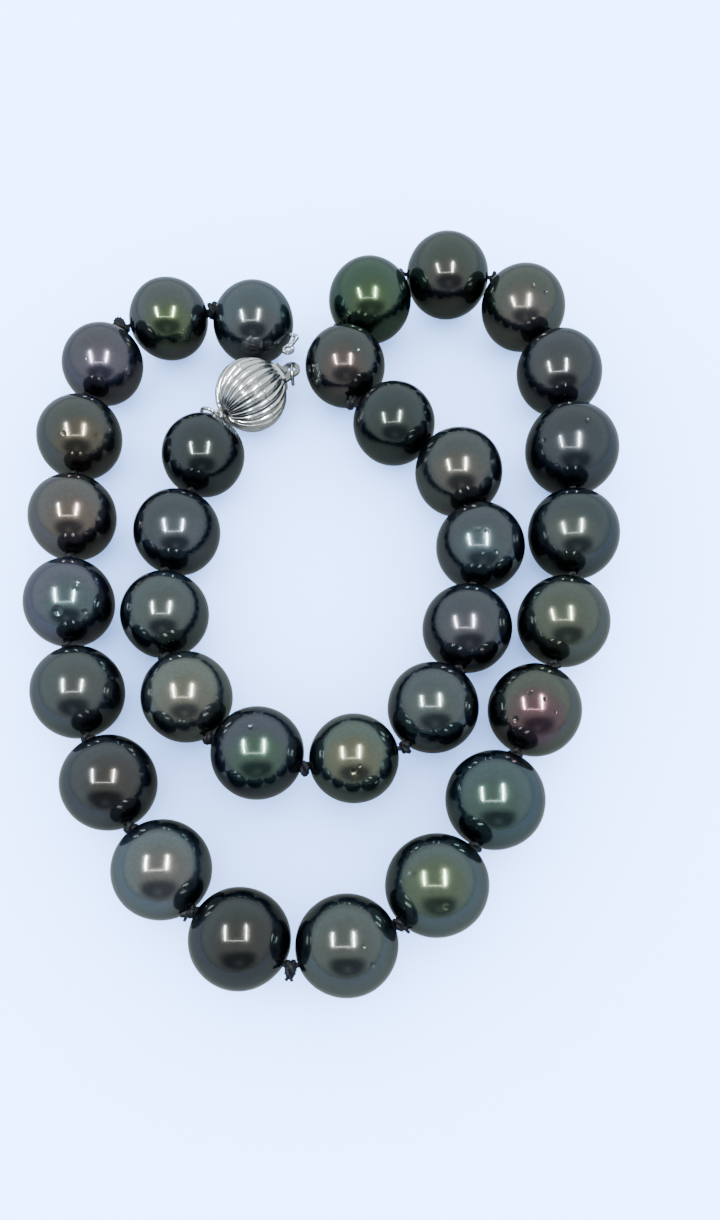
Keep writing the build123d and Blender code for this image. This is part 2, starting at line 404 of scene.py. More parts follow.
def mark_group():
    """Relief of one growth mark: a round hollow at a spot."""
    name = "growth_mark"
    if name in bpy.data.node_groups:
        return bpy.data.node_groups[name]
    tree, given, result = group(
        name,
        "ShaderNodeTree",
        (
            ("Place", "NodeSocketVector", None),
            ("Spot", "NodeSocketVector", None),
            ("Radius", "NodeSocketFloat", 0.4 * MM),
            ("Depth", "NodeSocketFloat", 0.1 * MM),
        ),
        (("Height", "NodeSocketFloat"),),
    )
    gap = gap_to(tree, given.outputs["Place"], given.outputs["Spot"])
    share = maths(tree, "DIVIDE", gap, given.outputs["Radius"])
    hollow = maths(tree, "MULTIPLY", fade(tree, share, 0.0, 1.0, -1.0, 0.0), given.outputs["Depth"])
    feed(tree, hollow, result.inputs["Height"])
    return tree


def camera_axis():
    """The point on the table that the camera looks at, and the direction from it to the camera."""
    lean = math.radians(settings().view_elevation)
    return Vector((3.718, -23.349, 0)) * MM, Vector((0, -math.cos(lean), math.sin(lean)))


def seen(pearl, right, up):
    """Unit direction on a pearl that lies right and up of its middle as the camera sees it."""
    target, back = camera_axis()
    toward = (target + back * settings().view_distance - pearl.middle).normalized()
    across = Vector((0, 0, 1)).cross(toward).normalized()
    facing = math.sqrt(max(0.0, 1 - right * right - up * up))
    return across * right + toward.cross(across) * up + toward * facing


def nacre_material(pearl, scale, lift):
    """One pearl's skin: its colour, the overtone colour painted as a reflection on the side facing the camera, and
    the growth marks in it.
    """
    body, heart, _ = NACRE[pearl.number]
    material, tree, shader = blank_material(f"nacre_{pearl.number:02d}")
    place = add(tree, "ShaderNodeTexCoord").outputs["Object"]
    skin = add(tree, "ShaderNodeGroup", node_tree=nacre_group())
    for socket, colour in (("Body", body), ("Heart", heart)):
        skin.inputs[socket].default_value = (*(value * settings().nacre_depth for value in linear(colour)), 1)
    feed(tree, place, skin.inputs["Place"])
    for attribute, socket in (("heart", "Heart mask"), ("bands", "Bands")):
        mask = add(tree, "ShaderNodeAttribute", attribute_name=attribute)
        feed(tree, mask.outputs["Fac"], skin.inputs[socket])
    height = maths(tree, "MULTIPLY", skin.outputs["Height"], MM)
    for right, up, radius, depth in MARKS.get(pearl.number, ()):
        mark = add(tree, "ShaderNodeGroup", node_tree=mark_group())
        spot = pearl.middle + Vector((0, 0, lift)) + seen(pearl, right, up) * pearl.radius * scale
        mark.inputs["Spot"].default_value = spot
        mark.inputs["Radius"].default_value = radius * MM
        mark.inputs["Depth"].default_value = depth * settings().mark_depth * MM
        feed(tree, place, mark.inputs["Place"])
        height = maths(tree, "ADD", height, mark.outputs["Height"])
    bump = add(tree, "ShaderNodeBump", Strength=1.0, Distance=1.0)
    feed(tree, height, bump.inputs["Height"])
    feed(tree, skin.outputs["Color"], shader.inputs["Base Color"])
    feed(tree, skin.outputs["Roughness"], shader.inputs["Roughness"])
    feed(tree, bump.outputs[0], shader.inputs["Normal"])
    shader.inputs["Metallic"].default_value = settings().nacre_metal
    shader.inputs["Specular Tint"].default_value = (0.4, 0.42, 0.45, 1)
    shader.inputs["Coat Weight"].default_value = settings().nacre_coat
    shader.inputs["Coat Roughness"].default_value = 0.02
    shader.inputs["Coat IOR"].default_value = 1.4
    return material


def wear_and_shade_group():
    """Colour, roughness and relief of polished metal: faint wear, hairlines, and painted shade that turns the deep
    valleys near black.
    """
    name = "metal_wear"
    if name in bpy.data.node_groups:
        return bpy.data.node_groups[name]
    tree, given, result = group(
        name,
        "ShaderNodeTree",
        (
            ("Place", "NodeSocketVector", None),
            ("Clean", "NodeSocketColor", None),
            ("Valley", "NodeSocketFloat", 0.0),
            ("Finish", "NodeSocketFloat", 0.1),
        ),
        (("Color", "NodeSocketColor"), ("Roughness", "NodeSocketFloat"), ("Height", "NodeSocketFloat")),
    )
    wear = add(tree, "ShaderNodeTexNoise", Scale=500.0, Detail=4.0)
    hairs = add(tree, "ShaderNodeTexNoise", Scale=3500.0, Detail=2.0)
    for texture in (wear, hairs):
        feed(tree, given.outputs["Place"], texture.inputs["Vector"])
    rubbed = maths(tree, "ADD", maths(tree, "MULTIPLY", wear.outputs[0], 0.14), 0.86)
    # painted shade: the metal goes near black where the valley mask is deep
    valley_shade = add(tree, "ShaderNodeMix", data_type="RGBA")
    valley_shade.inputs[7].default_value = (0.02, 0.02, 0.022, 1)
    feed(tree, given.outputs["Valley"], valley_shade.inputs[0])
    feed(tree, scaled(tree, given.outputs["Clean"], rubbed), valley_shade.inputs[6])
    feed(tree, valley_shade.outputs[2], result.inputs["Color"])
    rough = maths(tree, "MULTIPLY", spread(tree, wear.outputs[0], 0.7, 1.4), given.outputs["Finish"])
    feed(tree, rough, result.inputs["Roughness"])
    feed(tree, hairs.outputs[0], result.inputs["Height"])
    return tree


def metal_material(name, brightness_gain, finish, scratch):
    """White metal times a brightness gain, where a gain below one is painted shade, of one finish, with hairlines
    of one depth in millimetres.
    """
    material, tree, shader = blank_material(name)
    skin = add(tree, "ShaderNodeGroup", node_tree=wear_and_shade_group())
    skin.inputs["Clean"].default_value = (*(value * brightness_gain for value in settings().metal_colour), 1)
    skin.inputs["Finish"].default_value = finish
    feed(tree, add(tree, "ShaderNodeTexCoord").outputs["Object"], skin.inputs["Place"])
    valley = add(tree, "ShaderNodeAttribute", attribute_name="valley")
    feed(tree, valley.outputs["Fac"], skin.inputs["Valley"])
    bump = add(tree, "ShaderNodeBump", Strength=0.4, Distance=scratch * MM)
    feed(tree, skin.outputs["Height"], bump.inputs["Height"])
    feed(tree, skin.outputs["Color"], shader.inputs["Base Color"])
    feed(tree, skin.outputs["Roughness"], shader.inputs["Roughness"])
    feed(tree, bump.outputs[0], shader.inputs["Normal"])
    shader.inputs["Metallic"].default_value = 1.0
    return material


def silk_material():
    """Black twisted silk: fine fibres with a soft sheen."""
    material, tree, shader = blank_material("black_silk")
    place = add(tree, "ShaderNodeTexCoord").outputs["Object"]
    fibre = add(tree, "ShaderNodeTexNoise", Scale=9000.0, Detail=3.0)
    fade = add(tree, "ShaderNodeTexNoise", Scale=900.0, Detail=2.0)
    for texture in (fibre, fade):
        feed(tree, place, texture.inputs["Vector"])
    tone = add(tree, "ShaderNodeMix", data_type="RGBA")
    colour = settings().silk_colour
    tone.inputs[6].default_value = (*(value * 0.6 for value in colour), 1)
    tone.inputs[7].default_value = (*(value * 1.8 for value in colour), 1)
    feed(tree, fade.outputs[0], tone.inputs[0])
    feed(tree, tone.outputs[2], shader.inputs["Base Color"])
    rough = add(tree, "ShaderNodeMapRange", To_Min=0.5, To_Max=0.8)
    feed(tree, fade.outputs[0], rough.inputs["Value"])
    feed(tree, rough.outputs[0], shader.inputs["Roughness"])
    bump = add(tree, "ShaderNodeBump", Strength=0.7, Distance=0.03 * MM)
    feed(tree, fibre.outputs[0], bump.inputs["Height"])
    feed(tree, bump.outputs[0], shader.inputs["Normal"])
    shader.inputs["Specular IOR Level"].default_value = 0.3
    return material


def rope_tree():
    """Twisted rope: a lobed section swept along a line, turning as it goes."""
    name = "Twisted silk"
    if name in bpy.data.node_groups:
        return bpy.data.node_groups[name]
    tree, given, result = group(
        name,
        "GeometryNodeTree",
        (
            ("Geometry", "NodeSocketGeometry", None),
            ("Radius", "NodeSocketFloat", 0.4 * MM),
            ("Strands", "NodeSocketFloat", 3.0),
            ("Turn length", "NodeSocketFloat", 1.6 * MM),
            ("Step", "NodeSocketFloat", 0.12 * MM),
            ("Material", "NodeSocketMaterial", None),
        ),
        (("Geometry", "NodeSocketGeometry"),),
    )
    curve = add(tree, "GeometryNodeMeshToCurve")
    feed(tree, given.outputs["Geometry"], curve.inputs[0])
    even = add(tree, "GeometryNodeResampleCurve", mode="LENGTH")
    feed(tree, curve.outputs[0], even.inputs["Curve"])
    feed(tree, given.outputs["Step"], even.inputs["Length"])
    length = add(tree, "GeometryNodeSplineParameter").outputs["Length"]
    turns = maths(tree, "DIVIDE", length, given.outputs["Turn length"])
    tilt = add(tree, "GeometryNodeSetCurveTilt")
    feed(tree, even.outputs[0], tilt.inputs["Curve"])
    feed(tree, maths(tree, "MULTIPLY", turns, 2 * math.pi), tilt.inputs["Tilt"])
    circle = add(tree, "GeometryNodeCurvePrimitiveCircle")
    circle.inputs["Resolution"].default_value = 18
    feed(tree, given.outputs["Radius"], circle.inputs["Radius"])
    place = add(tree, "GeometryNodeInputPosition").outputs[0]
    parts = add(tree, "ShaderNodeSeparateXYZ")
    feed(tree, place, parts.inputs[0])
    angle = maths(tree, "ARCTAN2", parts.outputs["Y"], parts.outputs["X"])
    wave = maths(tree, "COSINE", maths(tree, "MULTIPLY", angle, given.outputs["Strands"]))
    lobes = maths(tree, "ADD", maths(tree, "MULTIPLY", wave, 0.13), 0.87)
    scaled = add(tree, "ShaderNodeVectorMath", operation="SCALE")
    feed(tree, place, scaled.inputs[0])
    feed(tree, lobes, scaled.inputs["Scale"])
    section = add(tree, "GeometryNodeSetPosition")
    feed(tree, circle.outputs[0], section.inputs["Geometry"])
    feed(tree, scaled.outputs[0], section.inputs["Position"])
    sweep = add(tree, "GeometryNodeCurveToMesh")
    sweep.inputs["Fill Caps"].default_value = True
    feed(tree, tilt.outputs[0], sweep.inputs["Curve"])
    feed(tree, section.outputs[0], sweep.inputs["Profile Curve"])
    close_tree(tree, sweep.outputs[0], given, result)
    return tree


def coil_tree():
    """Close wire coil: a helix of fine wire wound round a line."""
    name = "Wire coil"
    if name in bpy.data.node_groups:
        return bpy.data.node_groups[name]
    tree, given, result = group(
        name,
        "GeometryNodeTree",
        (
            ("Geometry", "NodeSocketGeometry", None),
            ("Coil radius", "NodeSocketFloat", 0.17 * MM),
            ("Wire radius", "NodeSocketFloat", 0.09 * MM),
            ("Pitch", "NodeSocketFloat", 0.2 * MM),
            ("Material", "NodeSocketMaterial", None),
        ),
        (("Geometry", "NodeSocketGeometry"),),
    )
    curve = add(tree, "GeometryNodeMeshToCurve")
    feed(tree, given.outputs["Geometry"], curve.inputs[0])
    even = add(tree, "GeometryNodeResampleCurve", mode="LENGTH")
    feed(tree, curve.outputs[0], even.inputs["Curve"])
    feed(tree, maths(tree, "DIVIDE", given.outputs["Pitch"], 14.0), even.inputs["Length"])
    length = add(tree, "GeometryNodeSplineParameter").outputs["Length"]
    angle = maths(tree, "MULTIPLY", maths(tree, "DIVIDE", length, given.outputs["Pitch"]), 2 * math.pi)
    normal = add(tree, "GeometryNodeInputNormal").outputs[0]
    tangent = add(tree, "GeometryNodeInputTangent").outputs[0]
    across = add(tree, "ShaderNodeVectorMath", operation="CROSS_PRODUCT")
    feed(tree, tangent, across.inputs[0])
    feed(tree, normal, across.inputs[1])
    sides = []
    for direction, share in ((normal, "COSINE"), (across.outputs[0], "SINE")):
        side = add(tree, "ShaderNodeVectorMath", operation="SCALE")
        feed(tree, direction, side.inputs[0])
        reach = maths(tree, "MULTIPLY", maths(tree, share, angle), given.outputs["Coil radius"])
        feed(tree, reach, side.inputs["Scale"])
        sides.append(side.outputs[0])
    offset = add(tree, "ShaderNodeVectorMath", operation="ADD")
    feed(tree, sides[0], offset.inputs[0])
    feed(tree, sides[1], offset.inputs[1])
    wound = add(tree, "GeometryNodeSetPosition")
    feed(tree, even.outputs[0], wound.inputs["Geometry"])
    feed(tree, offset.outputs[0], wound.inputs["Offset"])
    circle = add(tree, "GeometryNodeCurvePrimitiveCircle")
    circle.inputs["Resolution"].default_value = 10
    feed(tree, given.outputs["Wire radius"], circle.inputs["Radius"])
    sweep = add(tree, "GeometryNodeCurveToMesh")
    sweep.inputs["Fill Caps"].default_value = True
    feed(tree, wound.outputs[0], sweep.inputs["Curve"])
    feed(tree, circle.outputs[0], sweep.inputs["Profile Curve"])
    close_tree(tree, sweep.outputs[0], given, result)
    return tree


def close_tree(tree, geometry, given, result):
    """Ends a tree with real geometry that carries its material."""
    real = add(tree, "GeometryNodeRealizeInstances")
    dress = add(tree, "GeometryNodeSetMaterial")
    feed(tree, geometry, real.inputs[0])
    feed(tree, real.outputs[0], dress.inputs["Geometry"])
    feed(tree, given.outputs["Material"], dress.inputs["Material"])
    feed(tree, dress.outputs[0], result.inputs[0])


# ---- the pieces ----


def pearl_profile(radius, bore, rim):
    """Closed outline of half a drilled ball: round outside, softened rims, straight hole."""
    opening = math.asin((bore + rim) / radius)
    angles = np.linspace(math.pi - opening, opening, 76)
    outside = [(radius * math.cos(angle), radius * math.sin(angle)) for angle in angles]
    mouth = radius * math.cos(opening)
    inner = [(mouth - 0.3 * rim, bore + 0.3 * rim), (mouth - rim, bore)]
    hole = [(mouth * share, bore) for share in (0.6, 0.2, -0.2, -0.6)]
    return outside + inner + hole + [(-a, r) for a, r in reversed(inner)]


def make_pearl(pearl):
    """A drilled pearl, very slightly out of round, with the masks that its skin reads: its bands, and the side
    facing the camera where a reflection is painted.
    """
    scale = NACRE[pearl.number][2]
    radius = pearl.radius * scale
    lift = radius - pearl.radius
    seed = Vector((pearl.number * 3.7, pearl.number * 1.3, 0))
    uneven = settings().pearl_unevenness

    def out_of_round(local, turn):
        flat = local.reshape(-1, 3)
        reach = np.linalg.norm(flat, axis=1)
        wave = np.array([noise.noise(Vector(point) / radius * 1.1 + seed) for point in flat])
        outer = reach > radius * 0.93
        flat[outer] *= (1 + uneven * (wave[outer, None] - 0.5))
        return flat.reshape(local.shape)

    middle = pearl.middle + Vector((0, 0, lift))
    profile = pearl_profile(radius, 0.48 * MM, 0.12 * MM)
    piece = lathe(f"{pearl.node}_nacre", profile, middle, pearl.along, 96, out_of_round)
    mesh = piece.data
    points = np.empty(len(mesh.vertices) * 3)
    mesh.vertices.foreach_get("co", points)
    points = points.reshape(-1, 3)
    points[:, 2] += max(0.0, -points[:, 2].min())
    mesh.vertices.foreach_set("co", points.ravel())
    spread = (points - np.array(middle)) / radius
    # mask of the painted reflection: the side of the pearl that faces the camera, a little below its middle
    toward = seen(pearl, 0.05 * math.sin(pearl.number), -0.12 + 0.06 * math.cos(pearl.number * 2))
    heart = mesh.attributes.new("heart", "FLOAT", "POINT")
    heart.data.foreach_set("value", np.clip((spread @ np.array(toward) - 0.62) / 0.38, 0, 1))
    bands = mesh.attributes.new("bands", "FLOAT", "POINT")
    bands.data.foreach_set("value", spread @ np.array(pearl.along))
    settle(piece, pearl.node, nacre_material(pearl, scale, lift))


def knot_loops(middle, along, size, seed):
    """Centre line of an overhand knot pulled tight: one closed line that winds round the strand."""
    side = Vector((0, 0, 1)).cross(along).normalized()
    up = along.cross(side)
    points = []
    steps = 46
    for step in range(steps + 1):
        turn = 2 * math.pi * step / steps
        wide = (0.52 + 0.24 * math.cos(3 * turn)) * size
        points.append(
            middle
            + side * wide * math.cos(2 * turn + seed)
            + up * wide * math.sin(2 * turn + seed)
            + along * 0.30 * size * math.sin(3 * turn)
        )
    return points


def strand_stretch(first, last):
    """Line of one stretch of silk's thread, and the numbers of the knots it passes."""
    step = 1 if (last > first or first > MIDDLE) else -1
    knots = [number if step > 0 else number - 1 for number in range(first, last + step, step)]
    knots = [number for number in knots if 0 < number < PEARLS]
    if first == 16:
        knots.insert(0, 15)
        line = []
    else:
        pearl = STRAND[first]
        line = [pearl.middle - pearl.along * step * (pearl.radius - 0.15 * MM)]
    line += [KNOTS[number] for number in knots]
    if last in (1, PEARLS):
        pearl = STRAND[last]
        line.append(pearl.middle + pearl.along * step * (pearl.radius - 1.0 * MM))
    return line, knots


# knots with a cut tail: its heading in degrees and its length in millimetres
TAILS = {22: (330, 1.0), 23: (262, 0.9), 24: (215, 0.9), 31: (120, 0.9)}
# knots that show most: their size in millimetres, where the others have the usual one
KNOT_SIZES = {31: 1.5, 32: 1.3, 23: 1.15, 5: 1.05}
KNOT_SIZE = 0.95
# first and last pearl of each stretch, the way the silk runs out from the middle
STRETCHES = (
    (16, 18), (15, 14), (13, 10), (9, 8), (7, 6), (5, 4), (3, 2), (1, 1),
    (19, 20), (21, 22), (23, 24), (25, 26), (27, 28), (29, 30), (31, 32), (33, 33),
)


def make_silk(first, last, material):
    """One stretch of silk: its thread, its knots and their cut tails, as one piece."""
    low, high = sorted((first, last))
    node = f"silk_{low:02d}" if low == high else f"silk_{low:02d}_{high:02d}"
    line, knots = strand_stretch(first, last)
    rope = rope_tree()
    parts = [grown(node + "_thread", [line], rope, radius=0.33 * MM, material=material)]
    for number in knots:
        along = (STRAND[number].along + STRAND[number + 1].along).normalized()
        size = MM * KNOT_SIZES.get(number, KNOT_SIZE)
        loops = [knot_loops(KNOTS[number], along, size, number * 1.9)]
        look = {"radius": 0.3 * size, "turn_length": 1.1 * MM, "step": 0.09 * MM, "material": material}
        parts.append(grown(node + "_knot", loops, rope, **look))
        for tail in cut_tails(number):
            look = {"radius": 0.22 * MM, "strands": 2.0, "turn_length": 0.7 * MM, "step": 0.08 * MM}
            parts.append(grown(node + "_tail", [tail], rope, material=material, **look))
    settle(joined(node + "_cord", parts), node, material)


def cut_tails(number):
    """Lines of the two cut ends at a knot, if it has them."""
    if number not in TAILS:
        return []
    heading, length = TAILS[number]
    out = on_heading(heading)
    start = KNOTS[number] + out * 0.5 * MM
    tails = []
    for lean, rise in ((-0.25, 0.1), (0.2, 0.35)):
        aside = out.cross(Vector((0, 0, 1))) * lean
        halfway = start + (out + aside) * 0.5 * length * MM
        tails.append([start, halfway, start + (out + aside * 1.6 + Vector((0, 0, rise))) * length * MM])
    return tails


def joined(name, parts):
    """Makes one mesh of several pieces."""
    work = bmesh.new()
    for part in parts:
        work.from_mesh(part.data)
    mesh = bpy.data.meshes.new(name)
    work.to_mesh(mesh)
    work.free()
    for part in parts:
        old = part.data
        bpy.data.objects.remove(part)
        bpy.data.meshes.remove(old)
    mesh.shade_smooth()
    return new_object(name, mesh)


BALL_RADIUS = 5.0 * MM
BALL_WALL = 0.4 * MM
# the flutes press in only what lies this near the outside of the ball
FLUTED_SKIN = 0.25 * MM
# from the middle of the ball to the eyelet behind it
EYELET_REACH = 6.0 * MM
# each half shell: how far from the middle it is cut off
REAR_CUT = 4.72 * MM
FRONT_CUT = 4.38 * MM


def ball_profile(cut, wall):
    """Closed outline of half the ball's wall, from the middle plane to its cut end."""
    inner = BALL_RADIUS - wall
    inner_last = math.acos(min(1.0, (cut - 0.02 * MM) / inner)) if cut < inner else 0.02
    points = []
    for radius, start, end, steps in (
        (BALL_RADIUS, math.pi / 2, math.acos(cut / BALL_RADIUS), 40),
        (inner, inner_last, math.pi / 2, 20),
    ):
        angles = np.linspace(start, end, steps)
        points += [(radius * math.cos(angle), radius * math.sin(angle)) for angle in angles]
    return points


def fluted(local, turn):
    """Presses the flutes into a ball: rounded ribs with sharp valleys that fade towards its ends."""
    outwards = np.hypot(local[:, :, 1], local[:, :, 2]) / BALL_RADIUS
    valley = 1 - np.abs(np.cos(turn * settings().flutes / 2))
    press = settings().flute_depth * MM * (valley**1.6)[None, :] * np.clip(outwards * 1.6, 0, 1)
    outer = np.linalg.norm(local, axis=2) > BALL_RADIUS - FLUTED_SKIN
    local[outer] *= (1 - press / BALL_RADIUS)[outer][:, None]
    return local


def make_ball(material):
    """Both fluted half shells, with a mask where the valleys are deep, which the metal's painted shade reads."""
    axis = on_heading(CLASP_HEADING)
    eyelet = JOINTS["clasp_ball_tilt"]["pos_m"]
    middle = Vector((eyelet[0], eyelet[1], 0)) + axis * EYELET_REACH + Vector((0, 0, BALL_RADIUS))
    shells = (("ball_rear_shell", REAR_CUT, -axis), ("ball_front_shell", FRONT_CUT, axis))
    for node, cut, direction in shells:
        piece = lathe(node + "_fluted", ball_profile(cut, BALL_WALL), middle, direction, 384, fluted)
        sunk = [(BALL_RADIUS - (point.co - middle).length) / MM for point in piece.data.vertices]
        # mask of the painted shade in the deep flute valleys
        valley = piece.data.attributes.new("valley", "FLOAT", "POINT")
        valley.data.foreach_set("value", [min(1.0, max(0.0, (depth - 0.18) / 0.3)) ** 2 for depth in sunk])
        settle(piece, node, material)


LOOP_RADIUS = 0.65 * MM


def coil_line(bend, eye, heading):
    """Line of a coil: along its bend, then once round its eye from a heading."""
    round_eye = [eye + on_heading(heading + 360 * step / 30) * LOOP_RADIUS for step in range(31)]
    return [bend + round_eye]


def make_coils(material):
    """The wound wire that covers the silk at both ends: a stem out of the hole and a loop."""
    look = {"material": material, "coil_radius": 0.2 * MM, "wire_radius": 0.13 * MM, "pitch": 0.31 * MM}
    first = STRAND[1]
    out = -first.along
    mouth = first.middle + out * first.radius
    eye = mouth + out * 1.15 * MM
    stem = [mouth - out * 0.8 * MM, mouth, eye - out * 0.75 * MM]
    line = coil_line(stem, eye, math.degrees(math.atan2(-out.y, -out.x)))
    settle(grown("wire_coil_a_wound", line, coil_tree(), **look), "wire_coil_a", material)

    last = STRAND[PEARLS]
    out = last.along
    mouth = last.middle + out * last.radius
    corner = mouth + out * 1.1 * MM
    hole = Vector(JOINTS["clasp_ring_b_swing"]["pos_m"])
    eye = hole + on_heading(100) * 2.3 * MM
    eye.z = mouth.z
    back = (corner - eye).normalized()
    bend = [corner - out * 0.35 * MM, corner - back * 0.05 * MM, corner - back * 0.35 * MM]
    stem = [mouth - out * 0.8 * MM, mouth, *bend, eye + back * 0.72 * MM]
    line = coil_line(stem, eye, math.degrees(math.atan2(back.y, back.x)))
    settle(grown("wire_coil_b_wound", line, coil_tree(), **look), "wire_coil_b", material)


# ---- add-on ----


class PearlStrandSettings(bpy.types.PropertyGroup):
    pearl_unevenness: FloatProperty(
        name="Unevenness", description="How far pearls are out of round", default=0.012
    )
    mark_depth: FloatProperty(name="Mark depth", description="Gain on the depth of growth marks", default=2.2)
    nacre_depth: FloatProperty(name="Nacre depth", description="Gain on the pearls' colours", default=0.55)
    nacre_metal: FloatProperty(name="Nacre lustre", description="How metallic the nacre is", default=1.0)
    nacre_coat: FloatProperty(name="Nacre gloss", description="Strength of the clear top layer", default=0.9)
    silk_colour: FloatVectorProperty(
        name="Silk", description="Colour of the silk", subtype="COLOR", default=(0.0012, 0.0011, 0.001)
    )
    metal_colour: FloatVectorProperty(
        name="White metal", description="Colour of the clasp", subtype="COLOR", default=(0.72, 0.72, 0.73)
    )
    flutes: IntProperty(name="Flutes", description="Number of ribs round the ball", default=24)
    flute_depth: FloatProperty(
        name="Flute depth", description="Depth of the valleys, in millimetres", default=0.55
    )
    paper_colour: FloatVectorProperty(
        name="Paper",
        description="Colour of the paper under the strand",
        subtype="COLOR",
        default=(0.86, 0.88, 0.92),
    )
    # painted shade: gain on the paper as the pearls mirror it
    mirrored_paper_shade: FloatVectorProperty(
        name="Paper in lustre",
        description="Gain on paper that is mirrored",
        subtype="COLOR",
        default=(0.24, 0.15, 0.065),
    )
    box_light: FloatProperty(name="Soft light", description="Strength of the light all round", default=30.0)
    box_colour: FloatVectorProperty(
        name="Soft light colour",
        description="Colour of the light all round",
        subtype="COLOR",
        default=(0.28, 0.48, 1.0),
    )
    room_light: FloatProperty(
        name="Room", description="Brightness of the room that the pearls mirror", default=1.0
    )
    room_colour: FloatVectorProperty(
        name="Room colour",
        description="Colour of the mirrored room",
        subtype="COLOR",
        default=(1.2, 1.31, 1.25),
    )
    haze_light: FloatProperty(
        name="Haze", description="Brightness of what is seen beyond the paper", default=11.5
    )
    strip_light: FloatProperty(name="Strip lights", description="Power of the strip lights", default=0.75)
    view_elevation: FloatProperty(
        name="View elevation", description="Angle of the camera above the table, in degrees", default=68.5
    )
    view_distance: FloatProperty(
        name="View distance", description="From the camera to the table", unit="LENGTH", default=0.13657
    )


class STRAND_OT_pearls(bpy.types.Operator):
    """Make the 33 pearls with their nacre"""

    bl_idname = "strand.pearls"
    bl_label = "Pearls"

    def execute(self, context):
        for pearl in STRAND.values():
            make_pearl(pearl)
        return {"FINISHED"}


class STRAND_OT_silk(bpy.types.Operator):
    """Make the twisted silk and its knots"""

    bl_idname = "strand.silk"
    bl_label = "Knotted silk"

    def execute(self, context):
        material = silk_material()
        for first, last in STRETCHES:
            make_silk(first, last, material)
        return {"FINISHED"}


class STRAND_OT_clasp(bpy.types.Operator):
    """Make the fluted ball, finish the tongue and rings, and wind the wire coils"""

    bl_idname = "strand.clasp"
    bl_label = "Clasp"

    def execute(self, context):
        # painted shade: the sheet and the wire are the one white metal darkened to 0.45 and 0.75
        bright = metal_material("white_metal_polished", 1.0, 0.12, 0.01)
        sheet = metal_material("white_metal_sheet", 0.45, 0.2, 0.02)
        wire = metal_material("white_metal_wire", 0.75, 0.08, 0.01)
        make_ball(bright)
        make_coils(wire)
        finishes = (
            ("ball_mouth_plate", bright),
            ("ball_eyelet", wire),
            ("tongue_base", sheet),
            ("tongue_spring", sheet),
            ("jump_ring_a", wire),
            ("jump_ring_b", wire),
        )
        for node, material in finishes:
            mesh = frame["nodes"][node].data
            mesh.materials.clear()
            mesh.materials.append(material)
        return {"FINISHED"}


class STRAND_OT_stage(bpy.types.Operator):
    """Make the paper, the lights and the camera"""

    bl_idname = "strand.stage"
    bl_label = "Stage"

    def execute(self, context):
        make_paper()
        make_lights()
        make_camera()
        return {"FINISHED"}


class STRAND_PT_panel(bpy.types.Panel):
    """Lists the steps and settings in the sidebar"""

    bl_label = "Pearl strand"
    bl_idname = "STRAND_PT_panel"
    bl_space_type = "VIEW_3D"
    bl_region_type = "UI"
    bl_category = "Pearl strand"

    def draw(self, context):
        for operator in STEPS:
            self.layout.operator(operator.bl_idname)
        for name in PearlStrandSettings.__annotations__:
            self.layout.prop(context.scene.pearl_strand, name)


def make_paper():
    """The sheet of paper that everything lies on, with painted shade in the lustre of the pearls: glossy rays see
    it darker and warmer.
    """
    mesh = bpy.data.meshes.new("paper")
    half = 1.5
    corners = [(-half, -half, 0), (half, -half, 0), (half, half, 0), (-half, half, 0)]
    mesh.from_pydata(corners, [], [(0, 1, 2, 3)])
    paper = new_object("paper", mesh)
    material, tree, shader = blank_material("pale_paper")
    place = add(tree, "ShaderNodeTexCoord").outputs["Object"]
    pulp = add(tree, "ShaderNodeTexNoise", Scale=90.0, Detail=4.0)
    feed(tree, place, pulp.inputs["Vector"])
    tone = add(tree, "ShaderNodeMix", data_type="RGBA")
    colour = tuple(settings().paper_colour)
    tone.inputs[6].default_value = (*(value * 0.985 for value in colour), 1)
    tone.inputs[7].default_value = (*colour, 1)
    feed(tree, pulp.outputs[0], tone.inputs[0])
    # painted shade: glossy rays see the paper dimmed and warmed by a gain
    rays = add(tree, "ShaderNodeLightPath")
    sheet = add(tree, "ShaderNodeMix", data_type="RGBA", blend_type="MULTIPLY")
    sheet.inputs[7].default_value = (*settings().mirrored_paper_shade, 1)
    feed(tree, rays.outputs["Is Glossy Ray"], sheet.inputs[0])
    feed(tree, tone.outputs[2], sheet.inputs[6])
    feed(tree, sheet.outputs[2], shader.inputs["Base Color"])
    shader.inputs["Specular IOR Level"].default_value = 0.1
    shader.inputs["Roughness"].default_value = 0.85
    bump = add(tree, "ShaderNodeBump", Strength=0.15, Distance=0.05 * MM)
    feed(tree, pulp.outputs[0], bump.inputs["Height"])
    feed(tree, bump.outputs[0], shader.inputs["Normal"])
    mesh.materials.append(material)


# strip lights: steps to the right and away, the two sides in metres, and the share of the power
STRIPS = {
    "strip_left": (-0.105, -0.04, 0.009, 0.115, 1.0),
    "strip_right": (0.06, -0.04, 0.009, 0.115, 1.0),
    "strip_near": (-0.02, -0.1, 0.13, 0.005, 0.06),
}
STRIP_HEIGHT = 0.2


def make_strip(name, right, away, across, along, share):
    """A strip light: an oblong area lamp that faces straight down and lights no paper."""
    lamp = bpy.data.lights.new(name, "AREA")
    lamp.shape = "RECTANGLE"
    lamp.size = across
    lamp.size_y = along
    lamp.energy = settings().strip_light * share
    lamp.color = (0.95, 0.98, 1.0)
    light = bpy.data.objects.new(name, lamp)
    light.visible_diffuse = False
    light.location = (right, away, STRIP_HEIGHT)
    light.rotation_euler = Vector((0, 0, -1)).to_track_quat("-Z", "Y").to_euler()
    bpy.context.scene.collection.objects.link(light)


